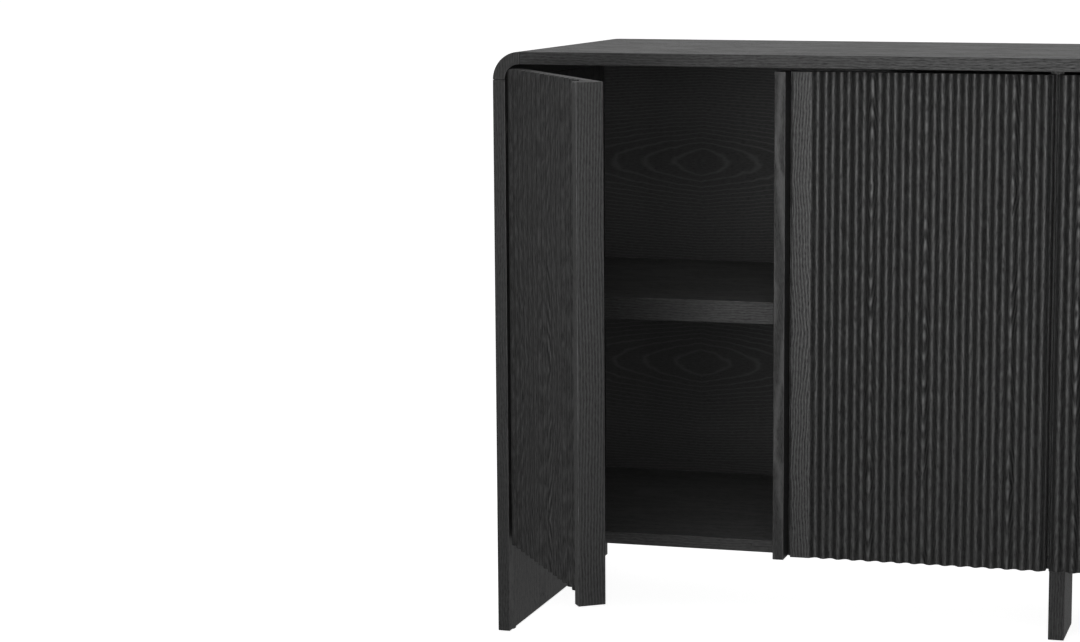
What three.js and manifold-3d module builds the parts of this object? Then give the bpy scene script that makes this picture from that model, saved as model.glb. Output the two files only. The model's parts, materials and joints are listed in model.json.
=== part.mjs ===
// Sideboard buffet: a waterfall case on slab sides, four fluted doors with full-height edge pulls.
// Units are millimetres. +Z is up, -Y is the front and +X is to the right as seen from the front.
// The origin is on the floor, at the centre of the underside of the centre foot.

import * as THREE from 'three';
import { mergeVertices } from 'three/addons/utils/BufferGeometryUtils.js';
import Module from 'manifold-3d';

const wasm = await Module();
wasm.setup();

// ---------------------------------------------------------------- driving dimensions

// Case
const WIDTH = 1600;
const HEIGHT = 850;
const DEPTH = 505;
const BOARD = 18; // thickness of the case boards
const CORNER_RADIUS = 40; // outside radius of the rounded top corners
const BACK_BOARD = 6;
const BACK_INSET = 2; // the back board sits this far inside the rear edges
const UNDERSIDE = 134; // height of the bottom board's lower face
const SHELF_THICKNESS = 32;
const SHELF_UNDERSIDE = 466;
const SHELF_SIDE_GAP = 1;
const JOINT_GAP = 0.3; // clearance left between pieces that touch

// Feet
const GLIDE_HEIGHT = 3;
const GLIDE_RADIUS = 8;
const GLIDE_INSET = 30; // from the front and rear edges of a side to a glide's centre
const LEG_WIDTH = 23;
const LEG_DEPTH = 100;
const LEG_SETBACK = 147; // from the case front to the front face of the centre leg

// Doors
const DOOR_GAP = 4;
const DOOR_TOP_GAP = 5;
const DOOR_THICKNESS = 18; // back face to the crests of the flutes
const BEHIND_DOOR = 2.5; // from a closed door's back face to the board edges behind it
const FLUTE_PITCH = 21.9;
const FLUTE_COUNT = 15.5; // valley at the hinge edge, crest at the flat strip
const FLUTE_DEPTH = 6.5;
const FLUTE_STEPS = 8; // facets in one flute
const RECESS_WIDTH = 5;
const RECESS_DEPTH = 10;
const PULL_WIDTH = 16;
const PULL_PROJECTION = 20; // in front of the crests
const DOOR_CORNER_RADIUS = 22; // at the hinge side of an outer door's top
const OPEN_ANGLE = 55; // how far the left outer door stands open, in degrees

// Hinges
// A fixed axis stands in for the moving centre of the concealed hinges. It is given from the
// door's hinge edge, towards the door, and from its back face, towards the front.
const OUTER_AXIS = { fromEdge: -20, fromBack: 25 };
const INNER_AXIS = { fromEdge: 3, fromBack: 18 };
const HINGE_FROM_END = 90; // from a door's top and bottom to a hinge's centre
const CUP_FROM_EDGE = 22.5;
const CUP_RADIUS = 17.5;
const CUP_DEPTH = 9.5; // a shallow cup, for thin doors
const CUP_WALL = 1.5;
const FLANGE_RADIUS = 20;
const FLANGE_THICKNESS = 1.2;
const ARM_WIDTH = 14;
const ARM_LENGTH = 70;
const ARM_BODY = 11; // thickness of the arm, square to the board it is fixed to
const NOSE_LENGTH = 9; // of the arm's cranked end, from front to back
const NOSE_CLEARANCE = 4; // from a closed door's back face to the arm
const PLATE_WIDTH = 44;
const PLATE_LENGTH = 36;
const PLATE_THICKNESS = 2;

// Small pieces
const PIN_RADIUS = 2.5;
const PIN_IN_BOARD = 8;
const PIN_IN_CASE = 9;
const PIN_HOLE_CLEARANCE = 0.3;
const PIN_INSET = 60; // from a shelf's front and rear edges to its pins
const BUMPER_RADIUS = 4;
const BUMPER_THICKNESS = 1.8;
const BUMPER_FROM_EDGE = 40; // from a door's free edge

// ---------------------------------------------------------------- derived places

const HALF = WIDTH / 2;
const INNER = HALF - BOARD; // inner face of a side
const FRONT = -(LEG_SETBACK + LEG_DEPTH / 2);
const REAR = FRONT + DEPTH;
const CORNER_INNER_RADIUS = CORNER_RADIUS - BOARD;
const CEILING = HEIGHT - BOARD; // underside of the top board
const FLOOR = UNDERSIDE + BOARD; // upper face of the bottom board
const BACK_FACE = REAR - BACK_INSET - BACK_BOARD; // front face of the back boards
const DOOR_BACK = FRONT + PULL_PROJECTION + DOOR_THICKNESS;
const BOARD_FRONT = DOOR_BACK + BEHIND_DOOR;
const DOOR_WIDTH = (INNER - 2.5 * DOOR_GAP) / 2;
const DOOR_BOTTOM = UNDERSIDE;
const DOOR_TOP = CEILING - DOOR_TOP_GAP;
const DOOR_HEIGHT = DOOR_TOP - DOOR_BOTTOM;
const PANEL_WIDTH = DOOR_WIDTH - PULL_WIDTH;
const FLUTED_WIDTH = FLUTE_PITCH * FLUTE_COUNT;
const HINGE_HEIGHTS = { lower: DOOR_BOTTOM + HINGE_FROM_END, upper: DOOR_TOP - HINGE_FROM_END };
const PIN_ROWS = { front: BOARD_FRONT + PIN_INSET, rear: BACK_FACE - PIN_INSET };

// ---------------------------------------------------------------- materials

const blackOak = new THREE.MeshStandardMaterial({ color: 0x2b2b2c, roughness: 0.55, metalness: 0 });
const nickel = new THREE.MeshStandardMaterial({ color: 0xb8b6b0, roughness: 0.35, metalness: 1 });
const blackPlastic = new THREE.MeshStandardMaterial({ color: 0x141414, roughness: 0.7, metalness: 0 });
const clearRubber = new THREE.MeshStandardMaterial({ color: 0x6a6a68, roughness: 0.6, metalness: 0 });

// ---------------------------------------------------------------- helpers

const sideboard = new THREE.Group();

function addMesh(parent, name, geometry, material) {
  const mesh = new THREE.Mesh(geometry, material);
  mesh.name = name;
  parent.add(mesh);
  return mesh;
}

// A box between two corners, each given as [x, y, z].
function boxBetween(low, high) {
  const size = high.map((value, i) => value - low[i]);
  const geometry = new THREE.BoxGeometry(...size);
  geometry.translate(...low.map((value, i) => value + size[i] / 2));
  return geometry;
}

// An outline in X and Y, raised from one height to another.
function raised(outline, bottom, top) {
  const geometry = new THREE.ExtrudeGeometry(outline, { depth: top - bottom, bevelEnabled: false, curveSegments: 8 });
  geometry.translate(0, 0, bottom);
  return geometry;
}

// An outline drawn in X and Z, carried from one depth to another.
function carriedBack(outline, front, rear) {
  const geometry = new THREE.ExtrudeGeometry(outline, { depth: rear - front, bevelEnabled: false, curveSegments: 8 });
  geometry.rotateX(Math.PI / 2);
  geometry.translate(0, rear, 0);
  return geometry;
}

// A cylinder with its axis along X ('x') or Y ('y').
function crossCylinder(radius, length, along, centre, sides = 16) {
  const geometry = new THREE.CylinderGeometry(radius, radius, length, sides);
  if (along === 'x') geometry.rotateZ(Math.PI / 2);
  geometry.translate(...centre);
  return geometry;
}

function toSolid(geometry) {
  const bare = geometry.clone();
  bare.deleteAttribute('normal');
  bare.deleteAttribute('uv');
  const merged = mergeVertices(bare);
  return new wasm.Manifold(new wasm.Mesh({
    numProp: 3,
    vertProperties: new Float32Array(merged.attributes.position.array),
    triVerts: new Uint32Array(merged.index.array),
  }));
}

function toGeometry(solid) {
  const mesh = solid.getMesh();
  const geometry = new THREE.BufferGeometry();
  geometry.setAttribute('position', new THREE.BufferAttribute(mesh.vertProperties, 3));
  geometry.setIndex(new THREE.BufferAttribute(mesh.triVerts, 1));
  geometry.computeVertexNormals();
  return geometry;
}

function withHoles(geometry, holes) {
  const solid = holes.reduce((rest, hole) => rest.subtract(toSolid(hole)), toSolid(geometry));
  return toGeometry(solid);
}

// ---------------------------------------------------------------- case

// Quarter-round block between the top board and a side; side is -1 on the left and 1 on the right.
function cornerBlock(side) {
  const centreX = side * (HALF - CORNER_RADIUS);
  const centreZ = HEIGHT - CORNER_RADIUS;
  const [from, to] = side < 0 ? [Math.PI / 2, Math.PI] : [0, Math.PI / 2];
  const outline = new THREE.Shape();
  outline.absarc(centreX, centreZ, CORNER_RADIUS, from, to, false);
  outline.absarc(centreX, centreZ, CORNER_INNER_RADIUS, to, from, true);
  return carriedBack(outline, FRONT, REAR);
}

function pinHoles(boardFace, side) {
  const length = PIN_IN_BOARD + PIN_HOLE_CLEARANCE;
  const centreX = boardFace + side * length / 2;
  return Object.values(PIN_ROWS).map((y) => crossCylinder(
    PIN_RADIUS + PIN_HOLE_CLEARANCE,
    length,
    'x',
    [centreX, y, SHELF_UNDERSIDE - PIN_RADIUS - JOINT_GAP],
  ));
}

function sidePanel(side) {
  const low = [side < 0 ? -HALF : INNER, FRONT, GLIDE_HEIGHT + JOINT_GAP];
  const high = [side < 0 ? -INNER : HALF, REAR, HEIGHT - CORNER_RADIUS - JOINT_GAP];
  return withHoles(boxBetween(low, high), pinHoles(side * INNER, side));
}

function partition() {
  const low = [-BOARD / 2, BOARD_FRONT, FLOOR + JOINT_GAP];
  const high = [BOARD / 2, BACK_FACE - JOINT_GAP, CEILING - JOINT_GAP];
  const holes = [-1, 1].flatMap((side) => pinHoles(side * BOARD / 2, -side));
  return withHoles(boxBetween(low, high), holes);
}

// One half of the back, rounded where it meets the corner block.
function backBoard(side) {
  const near = side * JOINT_GAP;
  const far = side * (INNER - JOINT_GAP);
  const bottom = FLOOR + JOINT_GAP;
  const top = CEILING - JOINT_GAP;
  const outline = new THREE.Shape();
  outline.moveTo(near, bottom);
  outline.lineTo(far, bottom);
  outline.lineTo(far, top - CORNER_INNER_RADIUS);
  const centreX = far - side * CORNER_INNER_RADIUS;
  const start = side < 0 ? Math.PI : 0;
  outline.absarc(centreX, top - CORNER_INNER_RADIUS, CORNER_INNER_RADIUS, start, Math.PI / 2, side < 0);
  outline.lineTo(near, top);
  outline.closePath();
  return carriedBack(outline, BACK_FACE, BACK_FACE + BACK_BOARD);
}

function addCase() {
  const topEnd = HALF - CORNER_RADIUS - JOINT_GAP;
  addMesh(sideboard, 'top_panel', boxBetween([-topEnd, FRONT, CEILING], [topEnd, REAR, HEIGHT]), blackOak);
  const bottomEnd = INNER - JOINT_GAP;
  addMesh(
    sideboard,
    'bottom_panel',
    boxBetween([-bottomEnd, BOARD_FRONT, UNDERSIDE], [bottomEnd, REAR - BACK_INSET, FLOOR]),
    blackOak,
  );
  addMesh(sideboard, 'centre_partition', partition(), blackOak);
  for (const [label, side] of [['left', -1], ['right', 1]]) {
    addMesh(sideboard, `corner_block_${label}`, cornerBlock(side), blackOak);
    addMesh(sideboard, `side_panel_${label}`, sidePanel(side), blackOak);
    addMesh(sideboard, `back_panel_${label}`, backBoard(side), blackOak);
  }
}

// ---------------------------------------------------------------- feet

function glide() {
  const edge = 1; // rounding of the rim that stands on the floor
  const profile = [
    [0, 0],
    [GLIDE_RADIUS - edge, 0],
    [GLIDE_RADIUS, edge],
    [GLIDE_RADIUS, GLIDE_HEIGHT],
    [0, GLIDE_HEIGHT],
  ].map(([r, z]) => new THREE.Vector2(r, z));
  const geometry = new THREE.LatheGeometry(profile, 24);
  geometry.rotateX(Math.PI / 2);
  return geometry;
}

function addFeet() {
  const halfLeg = LEG_WIDTH / 2;
  const legLow = [-halfLeg, -LEG_DEPTH / 2, GLIDE_HEIGHT + JOINT_GAP];
  const legHigh = [halfLeg, LEG_DEPTH / 2, UNDERSIDE - JOINT_GAP];
  addMesh(sideboard, 'centre_leg', boxBetween(legLow, legHigh), blackOak);
  addMesh(sideboard, 'glide_centre', glide(), blackPlastic);
  for (const [label, side] of [['left', -1], ['right', 1]]) {
    for (const [end, y] of [['front', FRONT + GLIDE_INSET], ['rear', REAR - GLIDE_INSET]]) {
      const foot = addMesh(sideboard, `glide_${label}_${end}`, glide(), blackPlastic);
      foot.position.set(side * (HALF - BOARD / 2), y, 0);
    }
  }
}

// ---------------------------------------------------------------- shelves

function shelfPin() {
  return crossCylinder(PIN_RADIUS, PIN_IN_BOARD + PIN_IN_CASE, 'x', [0, 0, 0], 12);
}

function addShelves() {
  for (const [label, side] of [['left', -1], ['right', 1]]) {
    const near = side * (BOARD / 2 + SHELF_SIDE_GAP);
    const far = side * (INNER - SHELF_SIDE_GAP);
    const low = [Math.min(near, far), BOARD_FRONT, SHELF_UNDERSIDE];
    const high = [Math.max(near, far), BACK_FACE - SHELF_SIDE_GAP, SHELF_UNDERSIDE + SHELF_THICKNESS];
    addMesh(sideboard, `shelf_${label}`, boxBetween(low, high), blackOak);
    const pinCentre = (PIN_IN_CASE - PIN_IN_BOARD) / 2; // from the board's face towards the shelf
    const outerX = side * (INNER - pinCentre);
    const innerX = side * (BOARD / 2 + pinCentre);
    for (const [end, y] of Object.entries(PIN_ROWS)) {
      for (const [place, x] of [['outer', outerX], ['inner', innerX]]) {
        const pin = addMesh(sideboard, `shelf_pin_${label}_${place}_${end}`, shelfPin(), nickel);
        pin.position.set(x, y, SHELF_UNDERSIDE - PIN_RADIUS - JOINT_GAP);
      }
    }
  }
}

// ---------------------------------------------------------------- doors

// A door is drawn with its hinge edge at x = 0 and its back face at y = 0. It runs towards
// +X for hand = 1 and towards -X for hand = -1, and its front faces -Y.
function flutedSection(hand) {
  const points = [[0, 0]];
  const steps = FLUTE_COUNT * FLUTE_STEPS;
  for (let i = 0; i <= steps; i += 1) {
    const wave = (1 + Math.cos(2 * Math.PI * i / FLUTE_STEPS)) / 2;
    points.push([FLUTED_WIDTH * i / steps, DOOR_THICKNESS - FLUTE_DEPTH * wave]);
  }
  const end = PANEL_WIDTH - JOINT_GAP;
  const strip = PANEL_WIDTH - RECESS_WIDTH;
  points.push([strip, DOOR_THICKNESS]);
  points.push([strip, DOOR_THICKNESS - RECESS_DEPTH]);
  points.push([end, DOOR_THICKNESS - RECESS_DEPTH]);
  points.push([end, 0]);
  return new THREE.Shape(points.map(([u, v]) => new THREE.Vector2(hand * u, -v)));
}

// Front view of a door panel with its top corner rounded at the hinge side.
function roundedFront(hand) {
  const outline = new THREE.Shape();
  const radius = DOOR_CORNER_RADIUS;
  outline.moveTo(0, DOOR_BOTTOM);
  outline.lineTo(0, DOOR_TOP - radius);
  const start = hand > 0 ? Math.PI : 0;
  outline.absarc(hand * radius, DOOR_TOP - radius, radius, start, Math.PI / 2, hand > 0);
  outline.lineTo(hand * PANEL_WIDTH, DOOR_TOP);
  outline.lineTo(hand * PANEL_WIDTH, DOOR_BOTTOM);
  outline.closePath();
  return outline;
}

function doorPanel(hand, outer) {
  const slab = raised(flutedSection(hand), DOOR_BOTTOM, DOOR_TOP);
  const pockets = Object.values(HINGE_HEIGHTS).map((z) => crossCylinder(
    CUP_RADIUS + JOINT_GAP,
    2 * (CUP_DEPTH + JOINT_GAP),
    'y',
    [hand * CUP_FROM_EDGE, 0, z],
    24,
  ));
  const blank = outer
    ? toGeometry(toSolid(slab).intersect(toSolid(carriedBack(roundedFront(hand), -2 * DOOR_THICKNESS, DOOR_THICKNESS))))
    : slab;
  return withHoles(blank, pockets);
}

function doorPull(hand) {
  const near = hand * PANEL_WIDTH;
  const far = hand * DOOR_WIDTH;
  const low = [Math.min(near, far), -(DOOR_THICKNESS + PULL_PROJECTION), DOOR_BOTTOM];
  const high = [Math.max(near, far), 0, DOOR_TOP];
  return boxBetween(low, high);
}

// The cup sits in its pocket with its mouth at the door's back face, under a thin flange.
function hingeCup() {
  const profile = [
    [0, -CUP_DEPTH],
    [CUP_RADIUS, -CUP_DEPTH],
    [CUP_RADIUS, JOINT_GAP],
    [FLANGE_RADIUS, JOINT_GAP],
    [FLANGE_RADIUS, JOINT_GAP + FLANGE_THICKNESS],
    [CUP_RADIUS - CUP_WALL, JOINT_GAP + FLANGE_THICKNESS],
    [CUP_RADIUS - CUP_WALL, CUP_WALL - CUP_DEPTH],
    [0, CUP_WALL - CUP_DEPTH],
  ].map(([r, y]) => new THREE.Vector2(r, y));
  return new THREE.LatheGeometry(profile, 24);
}

// The fixed half of a hinge: a mounting plate and a cranked arm that ends behind the cup.
// boardFace is the X of the board it is fixed to, and cupX is the X of the closed door's cup.
function hingeArm(boardFace, cupX) {
  const out = Math.sign(cupX - boardFace); // away from the board
  const x = (distance) => boardFace + out * distance;
  const foot = JOINT_GAP + PLATE_THICKNESS;
  const nose = DOOR_BACK + NOSE_CLEARANCE;
  const reach = Math.abs(cupX - boardFace);
  const crank = reach - foot;
  const outline = new THREE.Shape([
    [x(foot), nose + ARM_LENGTH],
    [x(foot), nose + crank],
    [x(reach - ARM_BODY), nose + NOSE_LENGTH / 3],
    [x(reach - ARM_BODY), nose],
    [x(reach + ARM_BODY), nose],
    [x(reach + ARM_BODY), nose + NOSE_LENGTH],
    [x(reach), nose + NOSE_LENGTH],
    [x(foot + ARM_BODY), nose + crank + ARM_BODY / 2],
    [x(foot + ARM_BODY), nose + ARM_LENGTH],
  ].map(([px, py]) => new THREE.Vector2(px, py)));
  const arm = raised(outline, -ARM_WIDTH / 2, ARM_WIDTH / 2);
  const plateFront = nose + ARM_LENGTH - PLATE_LENGTH;
  const faces = [x(JOINT_GAP), x(foot)].sort((a, b) => a - b);
  const plate = boxBetween(
    [faces[0], plateFront, -PLATE_WIDTH / 2],
    [faces[1], nose + ARM_LENGTH, PLATE_WIDTH / 2],
  );
  return toGeometry(toSolid(arm).add(toSolid(plate)));
}

const DOORS = [
  { name: 'left_outer', edge: -INNER + DOOR_GAP, hand: 1, board: -INNER, outer: true, axis: OUTER_AXIS, open: OPEN_ANGLE },
  { name: 'left_inner', edge: -DOOR_GAP / 2, hand: -1, board: -BOARD / 2, outer: false, axis: INNER_AXIS, open: 0 },
  { name: 'right_inner', edge: DOOR_GAP / 2, hand: 1, board: BOARD / 2, outer: false, axis: INNER_AXIS, open: 0 },
  { name: 'right_outer', edge: INNER - DOOR_GAP, hand: -1, board: INNER, outer: true, axis: OUTER_AXIS, open: 0 },
];

function addDoor({ name, edge, hand, board, outer, axis, open }) {
  const pivot = new THREE.Group(); // its origin is on the hinge axis
  pivot.position.set(edge + hand * axis.fromEdge, DOOR_BACK - axis.fromBack, 0);
  pivot.rotation.z = -hand * THREE.MathUtils.degToRad(open);
  sideboard.add(pivot);
  const leaf = new THREE.Group(); // its origin is the door's hinge edge at the back face
  leaf.position.set(-hand * axis.fromEdge, axis.fromBack, 0);
  pivot.add(leaf);
  addMesh(leaf, `door_panel_${name}`, doorPanel(hand, outer), blackOak);
  addMesh(leaf, `door_pull_${name}`, doorPull(hand), blackOak);
  const cupX = edge + hand * CUP_FROM_EDGE;
  for (const [place, z] of Object.entries(HINGE_HEIGHTS)) {
    const cup = addMesh(leaf, `hinge_cup_${name}_${place}`, hingeCup(), nickel);
    cup.position.set(hand * CUP_FROM_EDGE, 0, z);
    const arm = addMesh(sideboard, `hinge_arm_${name}_${place}`, hingeArm(board, cupX), nickel);
    arm.position.z = z;
  }
  const bumperX = edge + hand * (DOOR_WIDTH - BUMPER_FROM_EDGE);
  const bumperY = BOARD_FRONT - JOINT_GAP - BUMPER_THICKNESS / 2;
  const bumper = addMesh(
    sideboard,
    `door_bumper_${name}`,
    crossCylinder(BUMPER_RADIUS, BUMPER_THICKNESS, 'y', [0, 0, 0]),
    clearRubber,
  );
  bumper.position.set(bumperX, bumperY, UNDERSIDE + BOARD / 2);
}

addCase();
addFeet();
addShelves();
DOORS.forEach(addDoor);

export default sideboard;
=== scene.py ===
"""Sideboard buffet: its looks, light and camera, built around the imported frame.

Metres, +Z up, -Y is the front, +X is to the right as seen from the front.
"""

import json
import math

import bmesh
import bpy
from mathutils import Matrix, Vector


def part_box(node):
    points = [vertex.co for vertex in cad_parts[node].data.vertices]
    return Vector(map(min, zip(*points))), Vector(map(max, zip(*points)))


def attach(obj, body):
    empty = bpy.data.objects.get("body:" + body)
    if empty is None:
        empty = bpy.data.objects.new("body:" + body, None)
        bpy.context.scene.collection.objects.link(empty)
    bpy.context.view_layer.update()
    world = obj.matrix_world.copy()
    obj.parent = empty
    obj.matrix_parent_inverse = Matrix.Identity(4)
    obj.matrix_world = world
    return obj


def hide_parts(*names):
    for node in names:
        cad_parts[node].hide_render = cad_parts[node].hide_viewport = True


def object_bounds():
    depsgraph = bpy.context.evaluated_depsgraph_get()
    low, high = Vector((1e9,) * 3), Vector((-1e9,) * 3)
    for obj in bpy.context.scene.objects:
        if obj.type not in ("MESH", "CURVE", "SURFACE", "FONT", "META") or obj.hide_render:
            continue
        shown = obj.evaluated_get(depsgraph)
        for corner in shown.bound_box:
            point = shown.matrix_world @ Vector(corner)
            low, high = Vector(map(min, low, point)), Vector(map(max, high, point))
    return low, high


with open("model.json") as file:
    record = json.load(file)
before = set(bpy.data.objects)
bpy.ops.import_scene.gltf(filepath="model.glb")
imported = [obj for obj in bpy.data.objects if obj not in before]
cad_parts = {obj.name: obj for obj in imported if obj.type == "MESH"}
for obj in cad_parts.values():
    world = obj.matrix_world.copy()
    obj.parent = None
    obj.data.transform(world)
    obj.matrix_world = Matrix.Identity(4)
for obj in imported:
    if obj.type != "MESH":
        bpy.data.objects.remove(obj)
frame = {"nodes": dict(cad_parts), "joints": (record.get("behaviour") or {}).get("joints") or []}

cad_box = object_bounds()  # nothing has been added yet, so this is the CAD box
MM = 0.001

# ---------------------------------------------------------------- driving dimensions

BOARD_EASE = 0.9 * MM  # width of the eased edges of the boards
DOOR_EASE = 1.0 * MM
EASE_SEGMENTS = 3  # facets across an eased edge
EASE_ANGLE = math.radians(40)  # edges sharper than this are eased
JOINT_GAP = 0.3 * MM
ON_AXIS = 1e-7  # a turned profile's radius below this is a point on the axis
SAME_POINT = 1e-6

CORNER_STEPS = 28  # facets in a quarter round of the case
FLUTE_PITCH = 21.9 * MM
FLUTE_COUNT = 15.5  # valley at the hinge edge, crest at the flat strip
FLUTE_DEPTH = 6.5 * MM
FLUTE_FLATNESS = 0.35  # 0 is a plain cosine, and 1 has flat crests and valleys
FLUTE_STEPS = 24
RECESS_WIDTH = 5 * MM  # the groove between the panel's face and the pull
RECESS_DEPTH = 10 * MM
DOOR_CORNER_STEPS = 16

TURNED_STEPS = 40  # facets round a hinge cup
SMALL_STEPS = 20  # facets round a pin hole
SCREW_STEPS = 24
NOTCH_STEPS = 12  # where a screw wing meets its cup
WING_STEPS = 6

CUP_RADIUS = 17.5 * MM
CUP_DEPTH = 9.5 * MM
CUP_WALL = 1.2 * MM
CUP_LIP = 1.2 * MM  # how far the rim reaches past the cup, and how thick it is
RIM_ROUND = 0.4 * MM
WING_LENGTH = 62 * MM  # over both wings
WING_WIDTH = 22 * MM
WING_CORNER = 5 * MM
WING_THICKNESS = 1.0 * MM
SCREW_SPACING = 48 * MM
SCREW_HEAD = 3.6 * MM  # radius
PLATE_THICKNESS = 2 * MM
PLATE_SCREW = 27 * MM  # from the rear end of a mounting plate
PLATE_SCREW_RISE = 16 * MM  # above and below the plate's middle
ARM_FACE = 13 * MM  # from the foot of a hinge arm to its top
ARM_SCREWS = (9 * MM, 22 * MM)  # from the rear end of the arm
ARM_SCREW_HEAD = 2.8 * MM
PIN_HOLE_CLEARANCE = 0.3 * MM

# hand is the side of its hinge that a door lies on, and hearts are the distances from the
# hinge axis of the arches in its veneer.
DOORS = {
    "left_outer": {"hand": 1, "outer": True, "hearts": (91 * MM, 214 * MM, 330 * MM)},
    "left_inner": {"hand": -1, "outer": False, "hearts": (48 * MM, 170 * MM, 249 * MM)},
    "right_inner": {"hand": 1, "outer": False, "hearts": (31 * MM, 142 * MM, 265 * MM)},
    "right_outer": {"hand": -1, "outer": True, "hearts": (70 * MM, 187 * MM, 301 * MM)},
}
SIDES = {"left": -1, "right": 1}


# ---------------------------------------------------------------- shader helpers

def add_node(tree, kind, settings=None, **inputs):
    """Adds a shader node. Inputs are numbers, colours or sockets, by input name."""
    made = tree.nodes.new(kind)
    for key, value in (settings or {}).items():
        setattr(made, key, value)
    for key, value in inputs.items():
        plug(tree, made.inputs[key.replace("_", " ")], value)
    return made


def plug(tree, target, value):
    if isinstance(value, bpy.types.NodeSocket):
        tree.links.new(value, target)
    else:
        target.default_value = value


def calc(tree, operation, *values, clamp=False):
    made = tree.nodes.new("ShaderNodeMath")
    made.operation = operation
    made.use_clamp = clamp
    for target, value in zip(made.inputs, values):
        plug(tree, target, value)
    return made.outputs[0]


def triple(tree, x, y, z):
    return add_node(tree, "ShaderNodeCombineXYZ", X=x, Y=y, Z=z).outputs[0]


def noise(tree, place, sizes, detail=2.0, roughness=0.55):
    """Noise from 0 to 1. sizes are its grain along the three axes of place, in metres."""
    scale = tuple(1 / size for size in sizes)
    scaled = add_node(tree, "ShaderNodeMapping", Vector=place, Scale=scale).outputs[0]
    made = add_node(
        tree, "ShaderNodeTexNoise", Vector=scaled, Scale=1.0, Detail=detail, Roughness=roughness,
    )
    return made.outputs["Fac"]


def remap(tree, value, from_low, from_high, to_low, to_high, smooth=False):
    """Takes value from one range to another, and keeps it within the second."""
    made = add_node(
        tree, "ShaderNodeMapRange", {"interpolation_type": "SMOOTHSTEP" if smooth else "LINEAR"},
        Value=value, From_Min=from_low, From_Max=from_high, To_Min=to_low, To_Max=to_high,
    )
    return made.outputs[0]


def colour_between(tree, share, low, high):
    """A colour from low to high as share goes from 0 to 1. Each end is a grey or an RGB triple."""
    ramp = add_node(tree, "ShaderNodeValToRGB", Fac=share)
    for element, value in zip(ramp.color_ramp.elements, (low, high)):
        rgb = value if hasattr(value, "__len__") else (value,) * 3
        element.color = (*rgb, 1.0)
    return ramp.outputs[0]


def new_material(name, **constants):
    """A material, its node tree and its Principled shader, with the shader's constants set."""
    material = bpy.data.materials.new(name)
    material.use_nodes = True
    shader = material.node_tree.nodes["Principled BSDF"]
    for key, value in constants.items():
        shader.inputs[key.replace("_", " ")].default_value = value
    return material, material.node_tree, shader


def bump(tree, height, distance, strength):
    made = add_node(
        tree, "ShaderNodeBump", Height=height, Distance=distance, Strength=strength,
    )
    return made.outputs[0]


def object_place(tree):
    return add_node(tree, "ShaderNodeTexCoord").outputs["Object"]


# ---------------------------------------------------------------- materials

# The axes across the grain, into the board and along the grain, by the way a board stands
GRAIN_ORDER = {
    "lying": ("Y", "Z", "X"),
    "back": ("Z", "Y", "X"),
    "door": ("X", "Y", "Z"),
    "side": ("Y", "X", "Z"),
}
# Sizes of the grain's features across the grain, into the board and along the grain
SWAY_SIZES = (45 * MM, 45 * MM, 85 * MM)
DRIFT_SIZES = (16 * MM, 16 * MM, 30 * MM)
PATCH_SIZES = (50 * MM, 50 * MM, 90 * MM)
FIBRE_SIZES = (1.6 * MM, 1.6 * MM, 8 * MM)
STREAK_SIZES = (5 * MM, 5 * MM, 220 * MM)
PORE_SIZES = (0.42 * MM, 0.42 * MM, 9 * MM)
SWAY = 3.0  # times a board's wobble
DRIFT = 1.6
ARCH_CORE = 2 * MM  # from a heart line, within which an arch has its full strength
ARCH_REACH = 7 * MM
# Levels of a noise, from where a feature starts to where it is full
PORE_LEVELS = (0.60, 0.74)
PATCH_LEVELS = (0.42, 0.56)
RING_LEVELS = (0.0, 0.7)
PATCH_SHARES = (0.1, 1.0)  # of an arch, outside a patch and in it
PORE_SHARES = (1.0, 0.35)  # of a pore, in early and late wood

# Tone is 0 for the darkest oak and 1 for the lightest. Each mark adds its weight to it.
OAK_DARK = 0.007
OAK_LIGHT = 0.031
# eased edges are painted lighter: partly wear of the stain, partly a painted highlight on the
# rounded edges
WEAR_AND_HIGHLIGHT_ALBEDO = 1.9
MIDDLE_TONE = 0.42
MEAN_RING = 0.3  # mean of the late wood
MEAN_MARKS = 1.19  # mean of the fibres, streaks and pores together
FIBRE_WEIGHT = 2.2
STREAK_WEIGHT = 0.25
PORE_WEIGHT = -0.5
ARCH_WEIGHT = 0.45
# painted light on the crests and valleys of the ribs, and painted shade on their flanks
CREST_PAINTED_LIGHT = 0.08
FLANK_PAINTED_SHADE = -0.12

DARK_ROUGHNESS = 0.43
LIGHT_ROUGHNESS = 0.33
WORN_ROUGHNESS = -0.08
PORE_ROUGHNESS = 0.22
DARK_SPECULAR = 0.22
LIGHT_SPECULAR = 0.90
BRUSHED_DEPTH = 0.12 * MM
BRUSHED_STRENGTH = 0.55
RING_HEIGHT = 0.5  # heights are shares of the brushed depth
FIBRE_HEIGHT = 0.65
PORE_HEIGHT = -1.1


def ring_distance(tree, across, deep, length, hearts, stave, pith, taper, figure):
    """Distance from the nearest heart line, along the face and in the log."""
    if hearts:
        along_face = calc(tree, "ABSOLUTE", calc(tree, "SUBTRACT", across, hearts[0]))
        for heart in hearts[1:]:
            other = calc(tree, "ABSOLUTE", calc(tree, "SUBTRACT", across, heart))
            along_face = calc(tree, "MINIMUM", along_face, other)
    else:
        along_face = calc(tree, "PINGPONG", across, stave)
    up_board = calc(tree, "MULTIPLY", calc(tree, "PINGPONG", length, figure), taper)
    below = calc(tree, "ADD", calc(tree, "ADD", deep, pith), up_board)
    in_log = add_node(
        tree, "ShaderNodeVectorMath", {"operation": "LENGTH"},
        Vector=triple(tree, along_face, below, 0.0),
    ).outputs["Value"]
    return along_face, in_log


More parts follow.
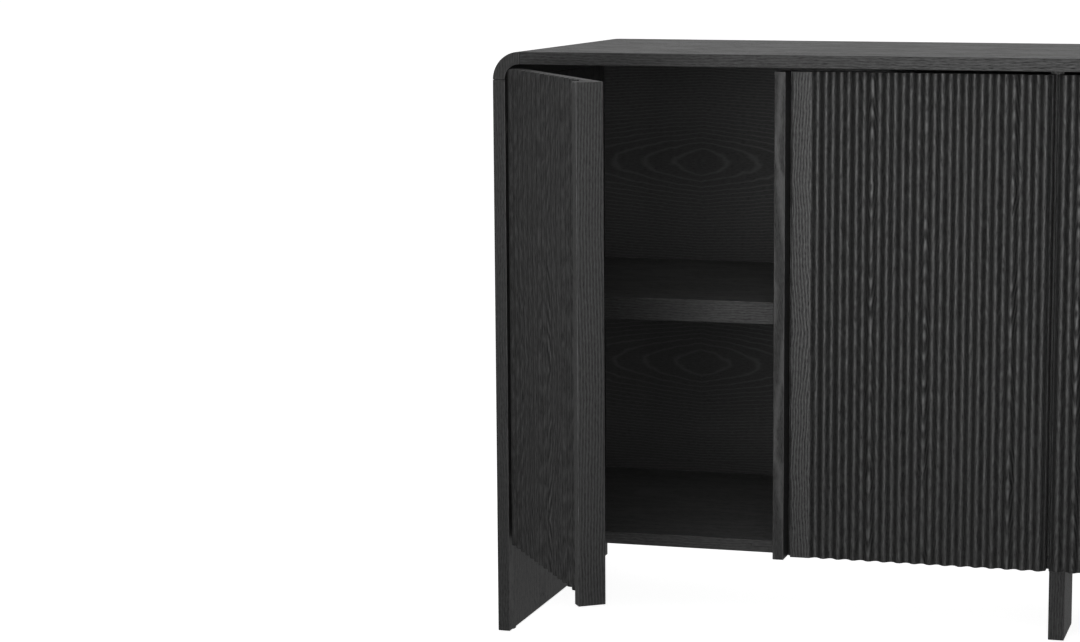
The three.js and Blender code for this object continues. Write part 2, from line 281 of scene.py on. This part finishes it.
def oak(
    name, stand, shift=(0, 0, 0), hearts=None, stave=75 * MM, pith=60 * MM, ring=3.8 * MM,
    taper=0.02, figure=0.21, wobble=3.4 * MM, rings=0.4, sharpness=2.2,
    contrast=0.5, painted_lightness=1.0, worn_and_highlit=False, crest=None,
):
    """Black-stained open-pore oak.

    The rings are those of a board cut at a distance pith from the heart, above the lines across
    = hearts, or above evenly spaced ones that are two staves apart. taper opens the rings into
    cathedrals along the grain, figure long. rings is the strength of the ring lines, and a
    higher sharpness makes them thinner. crest is the depth of the crests of a ribbed face. Its
    crests and valleys are painted lighter and its flanks darker, as painted light and shade.
    """
    material, tree, shader = new_material(name, IOR=1.5)
    moved = add_node(
        tree, "ShaderNodeMapping", Vector=object_place(tree), Location=shift,
    ).outputs[0]
    parts = add_node(tree, "ShaderNodeSeparateXYZ", Vector=moved).outputs
    across, deep, length = (parts[axis] for axis in GRAIN_ORDER[stand])
    place = triple(tree, across, deep, length)

    # growth rings
    sway = calc(tree, "SUBTRACT", noise(tree, place, SWAY_SIZES, detail=1.5), 0.5)
    drift = calc(tree, "SUBTRACT", noise(tree, place, DRIFT_SIZES, detail=1.0), 0.5)
    swayed = calc(tree, "MULTIPLY_ADD", sway, SWAY * wobble, across)
    along_face, in_log = ring_distance(
        tree, swayed, deep, length, hearts, stave, pith, taper, figure,
    )
    swung = calc(tree, "MULTIPLY_ADD", drift, DRIFT * wobble, in_log)
    wave = calc(tree, "SINE", calc(tree, "MULTIPLY", swung, 2 * math.pi / ring))
    late_wood = calc(tree, "POWER", calc(tree, "MULTIPLY_ADD", wave, 0.5, 0.5), sharpness)

    # fibres, streaks and open pores
    fibre = noise(tree, place, FIBRE_SIZES, detail=3.0, roughness=0.7)
    streak = noise(tree, place, STREAK_SIZES)
    pore_noise = noise(tree, place, PORE_SIZES, detail=0.0)
    pore = remap(tree, pore_noise, *PORE_LEVELS, 0.0, 1.0, smooth=True)
    pore_share = remap(tree, late_wood, *RING_LEVELS, *PORE_SHARES)
    pore_in_ring = calc(tree, "MULTIPLY", pore, pore_share)

    marks = calc(tree, "MULTIPLY", late_wood, rings)
    marks = calc(tree, "MULTIPLY_ADD", fibre, FIBRE_WEIGHT, marks)
    marks = calc(tree, "MULTIPLY_ADD", streak, STREAK_WEIGHT, marks)
    marks = calc(tree, "MULTIPLY_ADD", pore_in_ring, PORE_WEIGHT, marks)
    if hearts:
        # arches in patches over a heart, where the rings cross the face steeply
        arches = remap(tree, along_face, ARCH_CORE, ARCH_REACH, ARCH_WEIGHT, 0.0, smooth=True)
        patch_noise = noise(tree, place, PATCH_SIZES, detail=1.0)
        patches = remap(tree, patch_noise, *PATCH_LEVELS, *PATCH_SHARES, smooth=True)
        marks = calc(tree, "MULTIPLY_ADD", wave, calc(tree, "MULTIPLY", arches, patches), marks)
    over_mean = calc(tree, "SUBTRACT", marks, MEAN_RING * rings + MEAN_MARKS)
    tone = calc(tree, "MULTIPLY_ADD", over_mean, contrast, MIDDLE_TONE)
    # painted light and shade of the ribs: crests and valleys lighter, flanks darker
    if crest is not None:
        half = FLUTE_DEPTH / 2
        from_middle = calc(tree, "ABSOLUTE", calc(tree, "SUBTRACT", deep, crest + half))
        painted_rib_shade = remap(tree, from_middle, 0.0, half, FLANK_PAINTED_SHADE, CREST_PAINTED_LIGHT)
        tone = calc(tree, "ADD", tone, painted_rib_shade)

    # on eased edges the albedo is raised, as wear of the stain and as a painted highlight
    # painted_lightness lightens the oak as painted light where the inside of the case lies in shade
    albedo = (WEAR_AND_HIGHLIGHT_ALBEDO if worn_and_highlit else 1.0) * painted_lightness
    share = calc(tree, "ADD", tone, 0.0, clamp=True)
    colour = colour_between(tree, share, OAK_DARK * albedo, OAK_LIGHT * albedo)
    plug(tree, shader.inputs["Base Color"], colour)

    worn_by = WORN_ROUGHNESS if worn_and_highlit else 0.0
    rough = remap(tree, tone, 0.0, 1.0, DARK_ROUGHNESS + worn_by, LIGHT_ROUGHNESS + worn_by)
    rough = calc(tree, "MULTIPLY_ADD", pore_in_ring, PORE_ROUGHNESS, rough)
    plug(tree, shader.inputs["Roughness"], rough)
    specular = remap(tree, tone, 0.0, 1.0, DARK_SPECULAR, LIGHT_SPECULAR)
    plug(tree, shader.inputs["Specular IOR Level"], specular)

    height = calc(tree, "MULTIPLY", fibre, FIBRE_HEIGHT)
    height = calc(tree, "MULTIPLY_ADD", late_wood, RING_HEIGHT * rings, height)
    height = calc(tree, "MULTIPLY_ADD", pore_in_ring, PORE_HEIGHT, height)
    plug(tree, shader.inputs["Normal"], bump(tree, height, BRUSHED_DEPTH, BRUSHED_STRENGTH))
    return material


def brushed_steel(name):
    """Nickel-plated steel with fine drawn lines."""
    material, tree, shader = new_material(name, Metallic=1.0)
    place = object_place(tree)
    lines = noise(tree, place, (0.25 * MM, 6 * MM, 0.25 * MM))
    cloud = noise(tree, place, (9 * MM, 9 * MM, 9 * MM))
    colour = colour_between(tree, cloud, (0.36, 0.355, 0.34), (0.60, 0.59, 0.57))
    plug(tree, shader.inputs["Base Color"], colour)
    mixed = calc(tree, "MULTIPLY_ADD", lines, 0.5, calc(tree, "MULTIPLY", cloud, 0.5))
    plug(tree, shader.inputs["Roughness"], remap(tree, mixed, 0.3, 0.7, 0.24, 0.42))
    plug(tree, shader.inputs["Normal"], bump(tree, lines, 0.02 * MM, 0.5))
    return material


def moulded(name, low, high, grain, roughness):
    """A moulded plastic or rubber with a fine texture."""
    material, tree, shader = new_material(name)
    place = object_place(tree)
    pebble = noise(tree, place, (grain, grain, grain))
    cloud = noise(tree, place, (6 * MM, 6 * MM, 6 * MM))
    plug(tree, shader.inputs["Base Color"], colour_between(tree, cloud, low, high))
    rough = remap(tree, pebble, 0.3, 0.7, roughness - 0.08, roughness + 0.08)
    plug(tree, shader.inputs["Roughness"], rough)
    plug(tree, shader.inputs["Normal"], bump(tree, pebble, 0.05 * MM, 0.5))
    return material


# ---------------------------------------------------------------- mesh helpers

def new_piece(name, bm, *materials):
    """An object from bm, which is freed. Its faces keep their numbers into materials."""
    mesh = bpy.data.meshes.new(name)
    bmesh.ops.recalc_face_normals(bm, faces=bm.faces)
    for face in bm.faces:
        face.smooth = True
    bm.to_mesh(mesh)
    bm.free()
    piece = bpy.data.objects.new(name, mesh)
    bpy.context.scene.collection.objects.link(piece)
    for material in materials:
        mesh.materials.append(material)
    return piece


def ease(piece, width):
    """Rounds the piece's sharp edges. The rounded faces take the piece's second material."""
    soft = piece.modifiers.new("eased edges", "BEVEL")
    soft.width = width
    soft.segments = EASE_SEGMENTS
    soft.limit_method = "ANGLE"
    soft.angle_limit = EASE_ANGLE
    soft.use_clamp_overlap = False
    soft.harden_normals = True
    soft.material = 1 if len(piece.data.materials) > 1 else 0
    return piece


def add_box(bm, low, high):
    size = Vector(high) - Vector(low)
    middle = (Vector(high) + Vector(low)) / 2
    matrix = Matrix.Translation(middle) @ Matrix.Diagonal((*size, 1.0))
    bmesh.ops.create_cube(bm, size=1.0, matrix=matrix)


def add_turned(bm, profile, matrix, steps):
    """A closed turned solid: profile points are (radius, height) from the axis to the axis."""
    turns = [2 * math.pi * i / steps for i in range(steps)]
    rings = []
    for radius, height in profile:
        points = [(radius * math.cos(a), radius * math.sin(a), height) for a in turns]
        if radius < ON_AXIS:
            points = [(0, 0, height)]
        rings.append([bm.verts.new(matrix @ Vector(point)) for point in points])
    for lower, upper in zip(rings, rings[1:]):
        for i in range(steps):
            corners = [lower[i % len(lower)], lower[(i + 1) % len(lower)]]
            corners += [upper[(i + 1) % len(upper)], upper[i % len(upper)]]
            corners = list(dict.fromkeys(corners))
            if len(corners) > 2:
                bm.faces.new(corners)


def add_prism(bm, outline, rise):
    """A closed solid: outline is a list of points, and every one is carried by the vector rise."""
    foot = [bm.verts.new(Vector(p)) for p in outline]
    head = [bm.verts.new(Vector(p) + Vector(rise)) for p in outline]
    bm.faces.new(foot)
    bm.faces.new(list(reversed(head)))
    for i in range(len(foot)):
        j = (i + 1) % len(foot)
        bm.faces.new([foot[j], foot[i], head[i], head[j]])


def arc(centre, radius, start, end, steps):
    """Points of an arc in a plane, as pairs. Angles are in degrees."""
    turns = [math.radians(start + (end - start) * i / steps) for i in range(steps + 1)]
    return [(centre[0] + radius * math.cos(a), centre[1] + radius * math.sin(a)) for a in turns]


# Turns that take +Z to an axis
AXIS_TURN = {
    "X": Matrix.Rotation(math.radians(90), 4, "Y"),
    "Y": Matrix.Rotation(math.radians(-90), 4, "X"),
}


def drill(piece, holes, steps):
    """Cuts round holes. Each hole is (centre of one end, axis name, radius, length)."""
    bm = bmesh.new()
    for start, axis, radius, length in holes:
        matrix = Matrix.Translation(start) @ AXIS_TURN[axis]
        add_turned(bm, [(0, 0), (radius, 0), (radius, length), (0, length)], matrix, steps)
    cutter = new_piece("cutter", bm)
    cut = piece.modifiers.new("holes", "BOOLEAN")
    cut.object = cutter
    cut.solver = "EXACT"
    evaluated = piece.evaluated_get(bpy.context.evaluated_depsgraph_get())
    mesh = bpy.data.meshes.new_from_object(evaluated)
    piece.modifiers.remove(cut)
    piece.data = mesh
    bpy.data.objects.remove(cutter)
    return piece


def settle(piece, body, slot, *nodes):
    """Puts the piece on its body and hides the CAD nodes that it stands for. slot, its finish, is
    not used.
    """
    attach(piece, body)
    if nodes:
        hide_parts(*nodes)
    return piece


# ---------------------------------------------------------------- case

def case_corner():
    """The inside and outside radius of the case's rounded corners."""
    low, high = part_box("corner_block_left")
    outside = high.z - low.z
    return outside - (high.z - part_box("top_panel")[0].z), outside


def shelf_pin_holes(low_x, high_x):
    """The pin holes that open on the faces at low_x and high_x of an upright board."""
    holes = []
    for side in SIDES:
        for end in ("front", "rear"):
            for place in ("inner", "outer"):
                low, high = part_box(f"shelf_pin_{side}_{place}_{end}")
                radius = (high.z - low.z) / 2 + PIN_HOLE_CLEARANCE
                start = (low + high) / 2
                start.x = low.x - PIN_HOLE_CLEARANCE
                if low_x < low.x < high_x < high.x:
                    holes.append((start, "X", radius, high.x - start.x))
                if low.x < low_x < high.x < high_x:
                    holes.append((start, "X", radius, high.x - start.x + PIN_HOLE_CLEARANCE))
    return holes


def board(node, *materials, holes=False):
    """A board with eased edges. A third material is for its front face."""
    low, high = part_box(node)
    bm = bmesh.new()
    add_box(bm, low, high)
    if len(materials) > 2:
        for face in bm.faces:
            if face.calc_center_median().y < low.y + JOINT_GAP:
                face.material_index = 2
    piece = new_piece(f"{node}_wood", bm, *materials)
    if holes:
        drill(piece, shelf_pin_holes(low.x, high.x), SMALL_STEPS)
    ease(piece, BOARD_EASE)
    return settle(piece, "case", "black_oak", node)


def corner_block(label, side, *materials):
    """The quarter round between the top and a side."""
    low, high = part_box(f"corner_block_{label}")
    inside, outside = case_corner()
    centre = (low.x if side > 0 else high.x, low.z)
    start, end = (0, 90) if side > 0 else (180, 90)
    outline = arc(centre, outside, start, end, CORNER_STEPS)
    outline += arc(centre, inside, end, start, CORNER_STEPS)
    bm = bmesh.new()
    add_prism(bm, [(x, low.y, z) for x, z in outline], (0, high.y - low.y, 0))
    piece = ease(new_piece(f"corner_block_{label}_wood", bm, *materials), BOARD_EASE)
    return settle(piece, "case", "black_oak", f"corner_block_{label}")


def back_board(label, side, *materials):
    """A back board, rounded where it meets the corner block."""
    low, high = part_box(f"back_panel_{label}")
    radius = case_corner()[0]
    near, far = (low.x, high.x) if side > 0 else (high.x, low.x)
    start, end = (0, 90) if side > 0 else (180, 90)
    rounded = arc((far - side * radius, high.z - radius), radius, start, end, CORNER_STEPS)
    outline = [(near, low.z), (far, low.z), *rounded, (near, high.z)]
    bm = bmesh.new()
    add_prism(bm, [(x, low.y, z) for x, z in outline], (0, high.y - low.y, 0))
    piece = ease(new_piece(f"back_panel_{label}_wood", bm, *materials), JOINT_GAP)
    return settle(piece, "case", "black_oak", f"back_panel_{label}")


def make_case():
    # edge materials: worn and painted lighter as a highlight on the eased edges
    edge_x = oak("oak_edge_across", "lying", worn_and_highlit=True)
    edge_z = oak("oak_edge_upright", "door", worn_and_highlit=True)
    lying = oak("oak_lying", "lying", shift=(0.31, 0.02, 0.11))
    # the inside faces are painted 3.1 times lighter, as painted fill light in the shaded interior
    # of the case
    inside = oak("oak_inside", "lying", shift=(0.11, 0.32, 0.17), contrast=0.3, painted_lightness=3.1)
    centre = oak("oak_centre", "side", shift=(0.0, 0.07, 0.2))
    back_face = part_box("back_panel_left")[0].y
    # one leaf of veneer for each bay, with an oval figure over the shelf and another under it; it
    # is painted 1.75 times lighter, as painted fill light inside the case
    back = oak(
        "oak_back", "back", shift=(0.62, -back_face, -0.331), stave=162 * MM, pith=65.6 * MM,
        ring=4 * MM, taper=0.078, figure=0.62, wobble=1.4 * MM, rings=1.0, sharpness=8,
        contrast=0.3, painted_lightness=1.75,
    )
    board("top_panel", lying, edge_x)
    for node in ("bottom_panel", "shelf_left", "shelf_right"):
        board(node, inside, edge_x, lying)
    board("centre_partition", centre, edge_z, holes=True)
    board("centre_leg", centre, edge_z)
    for label, side in SIDES.items():
        outer_face = side * cad_box[1].x
        upright = oak(f"oak_side_{label}", "side", shift=(-outer_face, 0.11 * side, 0.2))
        board(f"side_panel_{label}", upright, edge_z, holes=True)
        corner_block(label, side, upright, edge_z)
        back_board(label, side, back, edge_x)


# ---------------------------------------------------------------- doors

def joint_of(door):
    return next(j for j in frame["joints"] if j["child"] == f"door_{door}")


def door_place(door):
    """The door's own frame at rest. Its origin is on the hinge axis, and closed it has no turn."""
    joint = joint_of(door)
    x, y, _ = joint["pos_m"]
    open_by = math.radians(-joint["range_deg"][0])
    turn = Matrix.Rotation(joint["axis"][2] * open_by, 4, "Z")
    return Matrix.Translation((x, y, 0)) @ turn


def closed_box(piece, outer):
    """Box of a door's piece in the door's own frame.

    Returns (nearest, furthest, front, back, bottom, top). The distances run from the hinge axis
    towards the free edge. They are read from the right-hand door of the same kind, which stands
    closed. In piece, {} is the door's name.
    """
    door = "right_outer" if outer else "right_inner"
    hand = DOORS[door]["hand"]
    x, y, _ = joint_of(door)["pos_m"]
    low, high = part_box(piece.format(door))
    near, far = sorted((hand * (low.x - x), hand * (high.x - x)))
    return near, far, low.y - y, high.y - y, low.z, high.z


def flute_front(distance, crest):
    """Y of the fluted face at a distance from the door's hinge edge."""
    wave = (1 + math.cos(2 * math.pi * distance / FLUTE_PITCH)) / 2
    flatter = wave * wave * (3 - 2 * wave)
    return crest + FLUTE_DEPTH * (wave + FLUTE_FLATNESS * (flatter - wave))


def fluted_columns(width, crest, corner):
    """Columns of the front face from the hinge edge, as (distance from the edge, y)."""
    count = round(FLUTE_COUNT * FLUTE_STEPS)
    distances = {FLUTE_PITCH * i / FLUTE_STEPS for i in range(count + 1)}
    if corner:
        distances = {d for d in distances if d > corner}
        turns = [math.pi / 2 * i / DOOR_CORNER_STEPS for i in range(DOOR_CORNER_STEPS + 1)]
        distances |= {corner * (1 - math.cos(a)) for a in turns}
    strip = width + JOINT_GAP - RECESS_WIDTH
    columns = [(d, flute_front(d, crest)) for d in sorted(distances)]
    columns += [(strip, crest), (strip, crest + RECESS_DEPTH), (width, crest + RECESS_DEPTH)]
    return columns


def door_panel(door, hand, outer, *materials):
    """A fluted panel. Its materials are for the flutes, the eased edges and the flat strip."""
    near, far, crest, back, bottom, top = closed_box("door_panel_{}", outer)
    corner = case_corner()[0] if outer else 0
    bm = bmesh.new()
    columns = []
    for distance, y in fluted_columns(far - near, crest, corner):
        drop = 0.0
        if distance < corner:
            drop = corner - math.sqrt(corner ** 2 - (corner - distance) ** 2)
        x = hand * (near + distance)
        corners = [(x, y, bottom), (x, y, top - drop), (x, back, top - drop), (x, back, bottom)]
        columns.append([bm.verts.new(c) for c in corners])
    for one, two in zip(columns, columns[1:]):
        flat = abs(one[0].co.x) > near + FLUTE_COUNT * FLUTE_PITCH - JOINT_GAP
        for i in range(4):
            j = (i + 1) % 4
            bm.faces.new([one[i], one[j], two[j], two[i]]).material_index = 2 if flat else 0
    bm.faces.new(columns[0])
    bm.faces.new(columns[-1])
    bmesh.ops.remove_doubles(bm, verts=bm.verts, dist=SAME_POINT)
    piece = new_piece(f"door_panel_{door}_wood", bm, *materials)
    cups = []
    for place in ("lower", "upper"):
        centre_x, centre_z = cup_centre(place, outer)
        start = Vector((hand * centre_x, back - CUP_DEPTH - JOINT_GAP, centre_z))
        cups.append((start, "Y", CUP_RADIUS + JOINT_GAP, 2 * CUP_DEPTH))
    drill(piece, cups, TURNED_STEPS)
    ease(piece, DOOR_EASE)
    piece.matrix_world = door_place(door)
    return settle(piece, f"door_{door}", "black_oak", f"door_panel_{door}")


def cup_centre(place, outer):
    """Distance from the hinge axis, and height, of a hinge cup's centre."""
    near, far, _, _, bottom, top = closed_box(f"hinge_cup_{{}}_{place}", outer)
    return (near + far) / 2, (bottom + top) / 2


def door_pull(door, hand, outer, *materials):
    """The full-height rail at a door's free edge."""
    near, far, front, back, bottom, top = closed_box("door_pull_{}", outer)
    bm = bmesh.new()
    low_x, high_x = sorted((hand * near, hand * far))
    add_box(bm, (low_x, front, bottom), (high_x, back, top))
    piece = ease(new_piece(f"door_pull_{door}_wood", bm, *materials), DOOR_EASE)
    piece.matrix_world = door_place(door)
    return settle(piece, f"door_{door}", "black_oak", f"door_pull_{door}")


def make_doors():
    # door edge material: worn and painted lighter as a highlight on the eased edges
    worn_and_highlit = oak("oak_edge_door", "door", worn_and_highlit=True)
    for number, (door, about) in enumerate(DOORS.items()):
        hand = about["hand"]
        veneer = {
            "shift": (0.0, 0.0, 0.17 * number),
            "hearts": [hand * heart for heart in about["hearts"]],
            "pith": 30 * MM, "taper": 0.12, "wobble": 2.6 * MM, "contrast": 0.75,
        }
        crest = closed_box("door_panel_{}", about["outer"])[2]
        fluted = oak(f"oak_flutes_{door}", "door", rings=0.3, crest=crest, **veneer)
        strip = oak(f"oak_strip_{door}", "door", rings=0.7, **veneer)
        rail_shift = (0.013, 0.3 * number, 0.11 * number)
        rail = oak(f"oak_pull_{door}", "door", shift=rail_shift, wobble=1.5 * MM, rings=0.8)
        door_panel(door, hand, about["outer"], fluted, worn_and_highlit, strip)
        door_pull(door, hand, about["outer"], rail, worn_and_highlit)


# ---------------------------------------------------------------- fittings

def screw_head(bm, place, turn, radius):
    """A pan head with a round recess. turn takes +Z to the way it faces."""
    shape = [(0, -0.2), (1, -0.2), (1, 0.28), (0.72, 0.5), (0.38, 0.56), (0.34, 0.1), (0, 0.1)]
    profile = [(r * radius, h * radius) for r, h in shape]
    add_turned(bm, profile, Matrix.Translation(place) @ turn, SCREW_STEPS)


def wing_outline(x, y, z, side):
    """One screw wing of a hinge cup, above it for side = 1 and below it for side = -1."""
    half = WING_WIDTH / 2
    start = math.degrees(math.acos(half / CUP_RADIUS))
    inner = arc((0, 0), CUP_RADIUS, 180 - start, start, NOTCH_STEPS)
    corner = half - WING_CORNER
    end = WING_LENGTH / 2 - WING_CORNER
    outer = arc((corner, end), WING_CORNER, 0, 90, WING_STEPS)
    outer += arc((-corner, end), WING_CORNER, 90, 180, WING_STEPS)
    return [(x + u, y, z + side * w) for u, w in inner + outer]


def hinge_cup(door, hand, outer, place, steel):
    """An open cup in the door's back, with its rim and two screwed wings."""
    centre_x, centre_z = cup_centre(place, outer)
    back = closed_box("door_panel_{}", outer)[3]
    x = hand * centre_x
    rim = CUP_RADIUS + CUP_LIP
    bore = CUP_RADIUS - CUP_WALL
    crown = CUP_LIP + JOINT_GAP
    profile = [
        (0, -CUP_DEPTH), (CUP_RADIUS - CUP_LIP, -CUP_DEPTH), (CUP_RADIUS, CUP_LIP - CUP_DEPTH),
        (CUP_RADIUS, JOINT_GAP), (rim, JOINT_GAP), (rim, CUP_LIP), (rim - RIM_ROUND, crown),
        (bore + RIM_ROUND, crown), (bore, CUP_LIP), (bore, 2 * CUP_WALL - CUP_DEPTH),
        (bore - CUP_WALL, CUP_WALL - CUP_DEPTH), (0, CUP_WALL - CUP_DEPTH),
    ]
    bm = bmesh.new()
    in_door = Matrix.Translation((x, back, centre_z)) @ AXIS_TURN["Y"]
    add_turned(bm, profile, in_door, TURNED_STEPS)
    for side in (-1, 1):
        add_prism(bm, wing_outline(x, back + JOINT_GAP, centre_z, side), (0, WING_THICKNESS, 0))
        screw = (x, back + JOINT_GAP + WING_THICKNESS, centre_z + side * SCREW_SPACING / 2)
        screw_head(bm, screw, AXIS_TURN["Y"], SCREW_HEAD)
    piece = new_piece(f"hinge_cup_{door}_{place}_steel", bm, steel)
    piece.matrix_world = door_place(door)
    return settle(piece, f"door_{door}", "hinge_steel", f"hinge_cup_{door}_{place}")


def hinge_screws(door, hand, place, steel):
    """The screws of a mounting plate, and the adjusting screws of its arm."""
    low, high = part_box(f"hinge_arm_{door}_{place}")
    foot = low.x if hand > 0 else high.x
    middle = (low.z + high.z) / 2
    turn = AXIS_TURN["X"]
    if hand < 0:
        turn = turn @ Matrix.Rotation(math.pi, 4, "X")
    bm = bmesh.new()
    for side in (-1, 1):
        on_plate = (
            foot + hand * PLATE_THICKNESS, high.y - PLATE_SCREW, middle + side * PLATE_SCREW_RISE,
        )
        screw_head(bm, on_plate, turn, SCREW_HEAD)
    for from_rear in ARM_SCREWS:
        on_arm = (foot + hand * ARM_FACE, high.y - from_rear, middle)
        screw_head(bm, on_arm, turn, ARM_SCREW_HEAD)
    piece = new_piece(f"hinge_screws_{door}_{place}", bm, steel)
    return settle(piece, "case", "hinge_steel")


def finish_fittings():
    """Detailed hinge cups and screws. The other fittings keep their CAD shape, with eased edges."""
    steel = brushed_steel("nickel_plated_steel")
    plastic = moulded("black_plastic", 0.006, 0.014, 0.35 * MM, 0.62)
    rubber = moulded("black_rubber", 0.012, 0.024, 0.25 * MM, 0.55)
    for door, about in DOORS.items():
        for place in ("lower", "upper"):
            hinge_cup(door, about["hand"], about["outer"], place, steel)
            hinge_screws(door, about["hand"], place, steel)
    # by the start of a node's name: its material and the width of its eased edges
    finishes = {
        "hinge_arm_": (steel, 0.5 * MM),
        "shelf_pin_": (steel, 0.4 * MM),
        "glide_": (plastic, 0.9 * MM),
        "door_bumper_": (rubber, 0.8 * MM),
    }
    for name, node in frame["nodes"].items():
        for start, (material, width) in finishes.items():
            if name.startswith(start):
                node.data.materials.clear()
                node.data.materials.append(material)
                ease(node, width)


# ---------------------------------------------------------------- studio

CAMERA_PLACE = (0.43871, -3.81106, 1.0152)
CAMERA_TURN = math.radians(14.01)  # to the left of +Y
CAMERA_TILT = math.radians(8.01)  # downwards
CAMERA_ROLL = math.radians(0.09)
LENS = 88.786
SENSOR = 36.0
SHIFT = (-0.1681, -0.0107)
CLIP_END = 200.0

# Soft lights, by name: place, target, size, radiance, and the kind of ray that doesn't see it.
# The key is what the door fronts mirror, and the strip draws the ribs of the open door. The
# fills light the wood without a reflection of their own.
SOFT_LIGHTS = {
    "key": ((0.9, -4.1, 0.55), (0.9, 0.0, 0.55), (4.4, 2.1), 2.2, None),
    "top": ((0.0, -0.4, 3.6), (0.0, -0.108, 0.425), (4.0, 3.0), 0.2, None),
    "strip": ((-3.25, -3.25, 0.3), (-0.7, -0.35, 0.45), (0.8, 2.8), 1.3, "diffuse"),
    "fill": ((-0.3, -2.6, 2.3), (-0.4, 0.0, 0.5), (2.4, 1.2), 3.2, "glossy"),
    "low fill": ((-0.42, -1.3, 0.88), (-0.6, 0.2, 0.35), (0.7, 1.1), 2.6, "glossy"),
}

FLOOR_RADIUS = 150.0
FLOOR_GLOW = 0.9  # takes the floor to white in the picture

# The world's level as a light: beside the object, and what is added behind it, low and high
BESIDE = 0.13
BEHIND_LEVELS = (0.14, 0.36)
BEHIND_REACH = (0.2, 0.75)  # of a direction's Y, from where it starts to where it is full
HORIZON = (-0.12, 0.05)  # of a direction's Z, from the low level to the high one


def make_camera():
    data = bpy.data.cameras.new("camera")
    data.sensor_width = SENSOR
    data.lens = LENS
    data.shift_x, data.shift_y = SHIFT
    data.clip_end = CLIP_END
    camera = bpy.data.objects.new("camera", data)
    turned = Matrix.Rotation(CAMERA_TURN, 4, "Z")
    tilted = turned @ Matrix.Rotation(math.pi / 2 - CAMERA_TILT, 4, "X")
    rolled = tilted @ Matrix.Rotation(CAMERA_ROLL, 4, "Z")
    camera.matrix_world = Matrix.Translation(CAMERA_PLACE) @ rolled
    bpy.context.scene.collection.objects.link(camera)
    bpy.context.scene.camera = camera


def soft_light(name, place, target, size, radiance, unseen_by):
    """A rectangular light facing target. Neither the camera nor rays of unseen_by see it."""
    data = bpy.data.lights.new(name, "AREA")
    data.shape = "RECTANGLE"
    data.size, data.size_y = size
    data.energy = radiance * math.pi * size[0] * size[1]
    lamp = bpy.data.objects.new(name, data)
    lamp.location = place
    lamp.rotation_mode = "QUATERNION"
    lamp.rotation_quaternion = (Vector(target) - Vector(place)).to_track_quat("-Z", "Y")
    lamp.visible_camera = False
    lamp.visible_diffuse = unseen_by != "diffuse"
    lamp.visible_glossy = unseen_by != "glossy"
    bpy.context.scene.collection.objects.link(lamp)


def make_floor():
    material, tree, shader = new_material(
        "pale_floor", Roughness=0.9, Emission_Color=(1, 1, 1, 1), Emission_Strength=FLOOR_GLOW,
    )
    cloud = noise(tree, object_place(tree), (0.8, 0.8, 0.8))
    plug(tree, shader.inputs["Base Color"], colour_between(tree, cloud, 0.78, 0.82))
    bm = bmesh.new()
    bmesh.ops.create_circle(bm, cap_ends=True, segments=64, radius=FLOOR_RADIUS)
    floor = new_piece("floor", bm, material)
    floor.visible_diffuse = False
    floor.visible_glossy = False
    floor.visible_shadow = False


def make_world():
    """White to the camera. As light it is brighter behind the object than beside it."""
    world = bpy.data.worlds.new("studio")
    bpy.context.scene.world = world
    world.use_nodes = True
    tree = world.node_tree
    tree.nodes.clear()
    direction = add_node(tree, "ShaderNodeTexCoord").outputs["Generated"]
    parts = add_node(tree, "ShaderNodeSeparateXYZ", Vector=direction).outputs
    behind = remap(tree, parts["Y"], *BEHIND_REACH, 0.0, 1.0, smooth=True)
    above = remap(tree, parts["Z"], *HORIZON, *BEHIND_LEVELS, smooth=True)
    level = calc(tree, "MULTIPLY_ADD", behind, above, BESIDE)
    lit = add_node(tree, "ShaderNodeBackground", Color=(1, 1, 1, 1), Strength=level)
    seen = add_node(tree, "ShaderNodeBackground", Color=(1, 1, 1, 1), Strength=1.0)
    ray = add_node(tree, "ShaderNodeLightPath").outputs["Is Camera Ray"]
    mixed = tree.nodes.new("ShaderNodeMixShader")
    plug(tree, mixed.inputs[0], ray)
    tree.links.new(lit.outputs[0], mixed.inputs[1])
    tree.links.new(seen.outputs[0], mixed.inputs[2])
    output = tree.nodes.new("ShaderNodeOutputWorld")
    tree.links.new(mixed.outputs[0], output.inputs["Surface"])


def make_studio():
    bpy.context.scene.view_settings.view_transform = "Standard"
    make_camera()
    make_floor()
    make_world()
    for name, about in SOFT_LIGHTS.items():
        soft_light(name, *about)


make_studio()
make_case()
make_doors()
finish_fittings()
